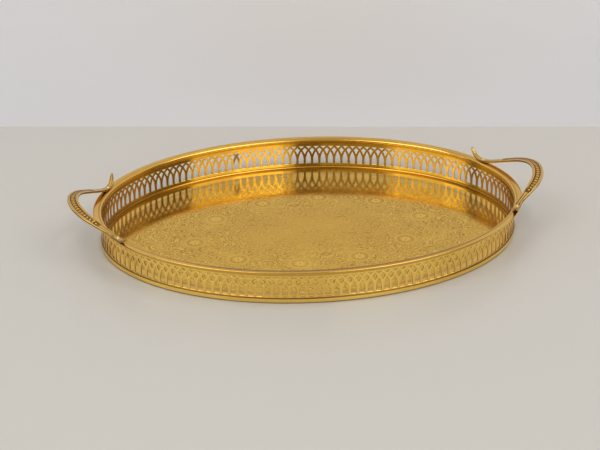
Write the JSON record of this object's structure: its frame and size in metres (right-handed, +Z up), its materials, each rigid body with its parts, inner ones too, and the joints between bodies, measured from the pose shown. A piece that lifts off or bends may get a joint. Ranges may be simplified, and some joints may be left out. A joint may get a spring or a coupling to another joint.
{
  "type": "oval gallery tray",
  "caption": "Oval serving tray with a pierced arcade gallery, flat flanged rim and two raised strap handles riveted to the rim.",
  "frame": {"origin": "centre of the tray's flat underside, on the surface it stands on", "axes": "+X along the tray's long axis towards one handle, +Y along its short axis, +Z up"},
  "size_m": [0.4452, 0.306, 0.0494],
  "materials": {
    "gilt_floor": "bright polished gilt brass, finely etched on top",
    "gilt_gallery": "bright polished gilt brass",
    "gilt_rim": "bright polished gilt brass",
    "gilt_handle": "polished cast gilt brass, toned in the hollows",
    "brass_rivet": "satin brass"
  },
  "bodies": {
    "root": {"base_pan": "gilt_floor", "gallery_strip": "gilt_gallery", "rim_moulding": "gilt_rim", "handle_right": "gilt_handle", "handle_left": "gilt_handle", "rivet_right_back": "brass_rivet", "rivet_right_front": "brass_rivet", "rivet_left_back": "brass_rivet", "rivet_left_front": "brass_rivet"}
  },
  "joints": []
}
